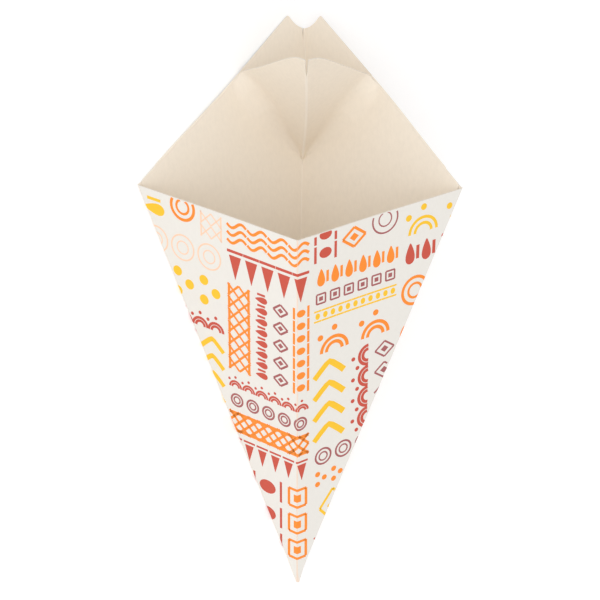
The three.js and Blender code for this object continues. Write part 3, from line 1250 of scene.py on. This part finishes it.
@dataclass
class Print:
    """The print on the outside: strips of repeated motifs, in blocks over the whole flat sheet.

    Flat coordinates are across the front fold and along it. The sheet runs from the right side fold over
    the front and the left panels to the back right panel, so its angles go from the panel angle down to
    minus three times that.

    The blocks are squares that start at the corner, and every other column is moved by the stagger. The
    evenness is how alike the strips of a block are in height. The ink keeps the margin from the card's edge
    and starts at a distance from the apex. It stands proud by the rise, reaches into the board by the sink,
    and has points at every fine step within near_fold of a fold.
    """

    blank: Blank
    shell: Shell
    seed: int = 11
    block: float = 38.0
    corner: tuple[float, float] = (6.0, -16.0)
    stagger: float = 13.0
    evenness: float = 16.0
    pale_share: float = 0.75
    pale_line: tuple[float, float] = (0.3, 0.42)
    bold_line: tuple[float, float] = (0.5, 0.85)
    gap: float = 2.0
    row_gap: float = 2.2
    margin: float = 0.12
    start: float = 7.0
    rise: float = 0.018
    sink: float = 0.03
    near_fold: float = 1.7
    fine_step: float = 0.3

    def strips(self) -> list[Strip]:
        """Fill the flat sheet with blocks, in the order of the random draws.

        Returns:
            The strips of all blocks.
        """
        rng = np.random.default_rng(self.seed)
        places = [(column, row) for column in range(-5, 3) for row in range(0, 7)]
        return [strip for column, row in places for strip in self.block_strips(rng, column, row)]

    def block_strips(self, rng: np.random.Generator, column: int, row: int) -> list[Strip]:
        """Return the three or four strips of a square block, beside or over each other.

        Args:
            rng: the source of the random draws.
            column: the block's column, staggered against the next.
            row: its row.

        Returns:
            The strips.
        """
        left, low = self.corner
        corner = np.array([column * self.block + left, row * self.block + low - self.stagger * (column % 2)])
        count = int(rng.choice([3, 3, 4]))
        share = rng.dirichlet([self.evenness] * count)
        upright = (row + column) % 2 == 0
        colours = rng.permutation(len(BOLD_INKS))
        filled, lined = (rng.permutation(len(kind)) for kind in (FILLED, LINED))
        way = np.array([0.0, 1.0]) if upright else np.array([1.0, 0.0])
        start = 0.0
        found = []
        for index in range(count):
            pale = index % 3 == 2 and rng.uniform() < self.pale_share
            full = not pale and index % 2 == row % 2
            ink = THIN_INKS[rng.integers(2)] if pale else BOLD_INKS[colours[index % 3]]
            motif = FILLED[filled[index]] if full else LINED[lined[index]]
            line = rng.uniform(*(self.pale_line if pale else self.bold_line))
            height = share[index] * self.block
            offset = np.array([start + height / 2, self.block / 2])
            middle = corner + (offset if upright else offset[::-1])
            found.append(Strip(ink, middle, way, self.block - self.gap, height - self.row_gap, motif, line))
            start += height
        return found

    def inside(self, flat: Array) -> tuple[Array, Array, Array]:
        """Find flat points on the shell.

        Args:
            flat: points across the front fold and along it.

        Returns:
            The fan's angles, the distances held to what is printed, and whether each point is printed.
        """
        a = self.blank.panel_angle
        angle = np.arctan2(flat[..., 0], flat[..., 1])
        distance = np.hypot(flat[..., 0], flat[..., 1])
        kept = np.clip(angle, -3 * a, a)
        fan = np.where(kept < -2 * a, kept + 4 * a, kept)
        edge = self.shell.edge(fan) - self.margin
        on = (np.abs(angle - kept) < TINY) & (distance < edge) & (distance > self.start)
        return fan, np.clip(distance, self.start, edge), on

    def refined(self, ribbon: Ribbon) -> tuple[Ribbon, int]:
        """Give a ribbon points close enough to bend with the card.

        Args:
            ribbon: the ribbon, in flat coordinates.

        Returns:
            The ribbon, the same where it is away from the folds, and its number of points across.
        """
        a = self.blank.panel_angle
        angle = np.arctan2(ribbon.line[:, 0], ribbon.line[:, 1])
        off_fold = np.abs(np.sin(angle - np.round(angle / a) * a)) * np.hypot(*ribbon.line.T)
        if np.min(off_fold - ribbon.half) > self.near_fold:
            return ribbon, 2
        length = np.concatenate([[0.0], np.cumsum(np.hypot(*np.diff(ribbon.line, axis=0).T))])
        place = np.linspace(0.0, length[-1], int(length[-1] / self.fine_step) + 2)
        fine = [np.interp(place, length, values) for values in (*ribbon.line.T, ribbon.half)]
        return stroke(*fine), int(2 * ribbon.half.max() / self.fine_step) + 2

    def print_stroke(self, sheet: Sheet, ribbon: Ribbon) -> None:
        """Add a stroke to its ink's sheet: a thin closed bar that follows the card, a little proud of it.

        Args:
            sheet: the ink's sheet.
            ribbon: the stroke, in flat coordinates.
        """
        run, columns = self.refined(ribbon)
        tangent = unit(np.gradient(run.line, axis=0))
        side = np.stack([-tangent[:, 1], tangent[:, 0]], axis=1) * run.half[:, None]
        share = np.linspace(1.0, -1.0, columns)[None, :, None]
        angle, distance, _ = self.inside(run.line[:, None] + side[:, None] * share)
        top = self.shell.surface(angle, distance, -self.rise)
        low = self.shell.surface(angle, distance, self.sink)
        sheet.tube(np.concatenate([top, low[:, ::-1]], axis=1), 0)

    def build(self) -> list[bpy.types.Object]:
        """Make one piece for each ink, from the runs of its strokes that lie on the card.

        Returns:
            The pieces.
        """
        sheets = {ink: Sheet() for ink in Ink}
        for strip in self.strips():
            for ribbon in strip.ribbons():
                on = self.inside(ribbon.line)[2].astype(int)
                steps = np.flatnonzero(np.diff(np.concatenate([[0], on, [0]])))
                for first, last in zip(steps[::2], steps[1::2]):
                    if last - first > 1:
                        run = Ribbon(ribbon.line[first:last], ribbon.half[first:last])
                        self.print_stroke(sheets[strip.ink], run)
        pieces = []
        for ink, sheet in sheets.items():
            name = ink.name.lower()
            paint = Board(f"ink_{name}", linear(*ink.value), roughness=0.5, fibre=0.06, cloud=0.03, bump=0.1)
            pieces.append(sheet.build(f"print_{name}", [paint.material()], merge=False))
        return pieces


@dataclass(frozen=True)
class Fibres:
    """The shared grain of the board: fine fibres and soft clouds, as one group of nodes.

    The stretch is the fibres' scale along the cone as a share of their scale across it.
    """

    name: str = "board_fibres"
    stretch: float = 0.45
    cloud_scale: float = 42.0

    def group(self) -> bpy.types.ShaderNodeTree:
        """Build the group on first use.

        Its inputs are the fibres' scale and how strong fibres and clouds are. Its outputs are a tone to
        multiply the colour by and a height for the bump.

        Returns:
            The group.
        """
        known = bpy.data.node_groups.get(self.name)
        if known:
            return known
        tree = bpy.data.node_groups.new(self.name, "ShaderNodeTree")
        face = tree.interface
        for label, value in (("Scale", 900.0), ("Fibre", 0.02), ("Cloud", 0.02)):
            face.new_socket(label, in_out="INPUT", socket_type="NodeSocketFloat").default_value = value
        for label in ("Tone", "Height"):
            face.new_socket(label, in_out="OUTPUT", socket_type="NodeSocketFloat")
        source = tree.nodes.new("NodeGroupInput")
        result = tree.nodes.new("NodeGroupOutput")
        place = tree.nodes.new("ShaderNodeTexCoord")
        stretch = tree.nodes.new("ShaderNodeMapping")
        stretch.inputs["Scale"].default_value = (1.0, self.stretch, 1.0)
        fibre = tree.nodes.new("ShaderNodeTexNoise")
        fibre.inputs["Detail"].default_value = 3.0
        cloud = tree.nodes.new("ShaderNodeTexNoise")
        cloud.inputs["Scale"].default_value = self.cloud_scale
        cloud.inputs["Detail"].default_value = 2.0
        link = tree.links.new
        link(place.outputs["Object"], stretch.inputs["Vector"])
        link(stretch.outputs["Vector"], fibre.inputs["Vector"])
        link(source.outputs["Scale"], fibre.inputs["Scale"])
        link(place.outputs["Object"], cloud.inputs["Vector"])
        fine = swing(tree, fibre.outputs["Fac"], source.outputs["Fibre"])
        broad = swing(tree, cloud.outputs["Fac"], source.outputs["Cloud"])
        link(calculate(tree, "MULTIPLY", fine, broad), result.inputs["Tone"])
        link(fibre.outputs["Fac"], result.inputs["Height"])
        return tree


def calculate(
    tree: bpy.types.NodeTree, operation: str, *values: bpy.types.NodeSocket | float
) -> bpy.types.NodeSocket:
    """Add a math node.

    Args:
        tree: the node tree.
        operation: the node's operation.
        values: what goes into its sockets in order, as sockets to link or as numbers to set.

    Returns:
        Its result.
    """
    node = tree.nodes.new("ShaderNodeMath")
    node.operation = operation
    for socket, value in zip(node.inputs, values):
        if isinstance(value, float):
            socket.default_value = value
        else:
            tree.links.new(value, socket)
    return node.outputs[0]


def swing(
    tree: bpy.types.NodeTree, value: bpy.types.NodeSocket, strength: bpy.types.NodeSocket
) -> bpy.types.NodeSocket:
    """Return a socket with (value - 0.5) * strength + 1."""
    return calculate(tree, "MULTIPLY_ADD", calculate(tree, "SUBTRACT", value, 0.5), strength, 1.0)


def linear(red: float, green: float, blue: float) -> tuple[float, float, float, float]:
    """Return the linear colour of an sRGB colour: s / 12.92 for a dark share s, else a power of it.

    Args:
        red: red, 0 to 255.
        green: green, 0 to 255.
        blue: blue, 0 to 255.

    Returns:
        Red, green and blue from 0 to 1, and an alpha of 1.
    """
    share = np.array([red, green, blue]) / 255.0
    low, high = share / 12.92, ((share + 0.055) / 1.055) ** 2.4
    return (*(float(v) for v in np.where(share <= 0.04045, low, high)), 1.0)


@dataclass(frozen=True)
class Board:
    """One face of the card, or an ink on it.

    It has its colour, its roughness, how strong its fibres, clouds and bump are, and the fibres' scale. With
    a fold colour, it takes that colour up to the fold width from a fold, by the mark of its vertices.
    """

    name: str
    colour: tuple[float, float, float, float]
    roughness: float
    fibre: float
    cloud: float
    bump: float
    scale: float = 900.0
    fold_colour: tuple[float, float, float, float] | None = None
    fold_width: float = 0.5

    def material(self) -> bpy.types.Material:
        """Build the material: its colour times the grain's tone, mixed with the fold colour near a fold.

        Returns:
            The material.
        """
        made = bpy.data.materials.new(self.name)
        made.use_nodes = True
        tree = made.node_tree
        shader = tree.nodes["Principled BSDF"]
        shader.inputs["Roughness"].default_value = self.roughness
        shader.inputs["Specular IOR Level"].default_value = 0.35
        grain = tree.nodes.new("ShaderNodeGroup")
        grain.node_tree = Fibres().group()
        grain.inputs["Scale"].default_value = self.scale
        grain.inputs["Fibre"].default_value = self.fibre
        grain.inputs["Cloud"].default_value = self.cloud
        tinted = tree.nodes.new("ShaderNodeVectorMath")
        tinted.operation = "SCALE"
        tinted.inputs[0].default_value = self.colour[:3]
        tree.links.new(grain.outputs["Tone"], tinted.inputs["Scale"])
        if self.fold_colour:
            mark = tree.nodes.new("ShaderNodeAttribute")
            mark.attribute_name = "mark"
            near = tree.nodes.new("ShaderNodeMapRange")
            near.inputs["From Min"].default_value = 0.3 * self.fold_width
            near.inputs["From Max"].default_value = self.fold_width
            near.inputs["To Min"].default_value = 1.0
            near.inputs["To Max"].default_value = 0.0
            mix = tree.nodes.new("ShaderNodeMix")
            mix.data_type = "RGBA"
            mix.inputs["B"].default_value = self.fold_colour
            tree.links.new(mark.outputs["Fac"], near.inputs["Value"])
            tree.links.new(near.outputs["Result"], mix.inputs["Factor"])
            tree.links.new(tinted.outputs["Vector"], mix.inputs["A"])
            tree.links.new(mix.outputs["Result"], shader.inputs["Base Color"])
        else:
            tree.links.new(tinted.outputs["Vector"], shader.inputs["Base Color"])
        bump = tree.nodes.new("ShaderNodeBump")
        bump.inputs["Strength"].default_value = self.bump
        bump.inputs["Distance"].default_value = BUMP_HEIGHT
        tree.links.new(grain.outputs["Height"], bump.inputs["Height"])
        tree.links.new(bump.outputs["Normal"], shader.inputs["Normal"])
        return made


@dataclass
class Studio:
    """The floor, the lamps and the camera, at the photograph's viewing angle.

    The camera's place is worked out in the cone's frame: its way back from the cone rises by the
    elevation and swings by the yaw, and the roll turns the picture about it. It looks at the point at
    look_height on the axis, moved by look_right and look_up in the picture.
    """

    blank: Blank
    distance: float = 660.0
    elevation: float = 0.25717
    yaw: float = 0.01722
    roll: float = 0.00692
    look_height: float = 115.5
    look_right: float = 0.33
    look_up: float = -3.36
    lens: float = 108.72
    sensor: float = 36.0
    floor_half: float = 4.0
    floor_lift: float = 0.12
    world_light: float = 0.82

    def axes(self) -> Array:
        """Work out the camera's axes in the cone's frame.

        Returns:
            Its right, up and back, as rows.
        """
        e, y, r = self.elevation, self.yaw, self.roll
        back = np.array([np.sin(y) * np.cos(e), -np.cos(y) * np.cos(e), np.sin(e)])
        right = np.array([np.cos(y), np.sin(y), 0.0])
        up = np.cross(back, right)
        turned = np.cos(r) * right + np.sin(r) * up
        return np.array([turned, np.cos(r) * up - np.sin(r) * right, back])

    def camera(self) -> None:
        """Make the scene's camera: it stands off the cone and looks at one point of its axis."""
        right, up, back = self.axes()
        middle = np.array([0.0, 0.0, self.look_height])
        place = middle + back * self.distance
        aim = middle + right * self.look_right + up * self.look_up
        turn = self.blank.lying()
        ahead = unit(turn @ (place - aim))
        upright = turn @ up
        side = unit(np.cross(upright, ahead))
        basis = np.stack([side, np.cross(ahead, side), ahead], axis=1)
        data = bpy.data.cameras.new("photo_camera")
        data.lens = self.lens
        data.sensor_width = self.sensor
        data.clip_start = 0.01
        data.dof.use_dof = False
        camera = bpy.data.objects.new("photo_camera", data)
        matrix = Matrix([[float(v) for v in row] for row in basis]).to_4x4()
        matrix.translation = Vector(self.blank.to_lying(place) * MM)
        camera.matrix_world = matrix
        bpy.context.scene.collection.objects.link(camera)
        bpy.context.scene.camera = camera

    def lamp(self, name: str, toward: tuple[float, float, float], power: float) -> None:
        """Hang a square soft lamp over the cone, 1.4 m away and 1.2 m wide.

        Args:
            name: the lamp's name.
            toward: its direction from the cone, as shares of the camera's right, up and back.
            power: its power, in watts.
        """
        away, over = 1.4, Vector((0.0, 0.0, 0.02))
        data = bpy.data.lights.new(name, "AREA")
        data.size = 1.2
        data.energy = power
        lamp = bpy.data.objects.new(name, data)
        way = Vector(self.blank.lying() @ (np.array(toward) @ self.axes())).normalized()
        lamp.location = way * away + over
        lamp.rotation_euler = way.to_track_quat("Z", "Y").to_euler()
        bpy.context.scene.collection.objects.link(lamp)

    @staticmethod
    def shown(tree: bpy.types.NodeTree) -> bpy.types.NodeSocket:
        """Return a socket that is one for rays from the camera, for reflections and through glass.

        Args:
            tree: the node tree that it is for.

        Returns:
            The socket.
        """
        path = tree.nodes.new("ShaderNodeLightPath")
        seen = path.outputs["Is Camera Ray"]
        for ray in ("Is Glossy Ray", "Is Transmission Ray"):
            seen = calculate(tree, "MAXIMUM", seen, path.outputs[ray])
        return seen

    def floor(self) -> None:
        """Lay a wide pale floor under the cone, lifted to white where the camera or a reflection shows it."""
        mesh = bpy.data.meshes.new("floor")
        half = self.floor_half
        corners = [(-half, -half, 0.0), (half, -half, 0.0), (half, half, 0.0), (-half, half, 0.0)]
        mesh.from_pydata(corners, [], [(0, 1, 2, 3)])
        made = bpy.data.materials.new("pale_floor")
        made.use_nodes = True
        tree = made.node_tree
        shader = tree.nodes["Principled BSDF"]
        shader.inputs["Base Color"].default_value = linear(250, 250, 250)
        shader.inputs["Roughness"].default_value = 1.0
        shader.inputs["Specular IOR Level"].default_value = 0.0
        shader.inputs["Emission Color"].default_value = WHITE
        lift = calculate(tree, "MULTIPLY", self.shown(tree), self.floor_lift)
        tree.links.new(lift, shader.inputs["Emission Strength"])
        mesh.materials.append(made)
        floor = bpy.data.objects.new("floor", mesh)
        bpy.context.scene.collection.objects.link(floor)
        floor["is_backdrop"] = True

    def world(self) -> None:
        """Light the scene from all round, and show white to the camera and in reflections."""
        world = bpy.data.worlds.new("studio")
        bpy.context.scene.world = world
        world.use_nodes = True
        tree = world.node_tree
        light, white = tree.nodes["Background"], tree.nodes.new("ShaderNodeBackground")
        for background, strength in ((light, self.world_light), (white, 1.0)):
            background.inputs["Color"].default_value = WHITE
            background.inputs["Strength"].default_value = strength
        mix = tree.nodes.new("ShaderNodeMixShader")
        for socket, value in zip(mix.inputs, (self.shown(tree), light.outputs[0], white.outputs[0])):
            tree.links.new(value, socket)
        tree.links.new(mix.outputs[0], tree.nodes["World Output"].inputs[0])

    def build(self) -> None:
        """Set the camera, the floor, the lamps and the world."""
        bpy.context.scene.view_settings.view_transform = "Standard"
        self.camera()
        self.floor()
        self.lamp("key_lamp", (-0.05, 0.0, 1.0), 3.6)
        self.lamp("low_lamp", (0.0, -0.7, 1.0), 3.3)
        self.world()


FACES = {
    Finish.OUTSIDE: Board(
        "printed_face", linear(232, 228, 221), roughness=0.5, fibre=0.05, cloud=0.012, bump=0.12,
        fold_colour=linear(236, 214, 196),
    ),
    Finish.INSIDE: Board(
        "bare_face", linear(243, 232, 216), roughness=0.72, fibre=0.09, cloud=0.03, bump=0.35,
        fold_colour=linear(249, 240, 227), fold_width=0.42,
    ),
    Finish.EDGE: Board(
        "cut_edge", linear(232, 224, 212), roughness=0.85, fibre=0.12, cloud=0.02, bump=0.4, scale=2600.0,
    ),
}


def main() -> None:
    """Build the studio and the cone's pieces in order, and log each piece."""
    logging.basicConfig(level=logging.INFO, format="%(message)s")
    blank = BLANK
    Studio(blank).build()
    finishes = [FACES[finish].material() for finish in Finish]
    shell = Shell(blank, cone_fan(blank))
    pieces = [shell.build(finishes), Pocket(blank).build(finishes)]
    pieces += [TurnedEdge(blank, side).build(finishes) for side in (-1.0, 1.0)]
    pieces.append(GlueTab(blank, shell).build(finishes))
    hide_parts(NODE)
    pieces += Print(blank, shell).build()
    for piece in pieces:
        log.info("%s: %d vertices", piece.name, len(piece.data.vertices))
    bpy.context.view_layer.update()
    boxes = {"cad": CAD_BOX, "visual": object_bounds()}
    {k: [[float(c) for c in corner] for corner in box] for k, box in boxes.items()}


if __name__ == "__main__":
    main()
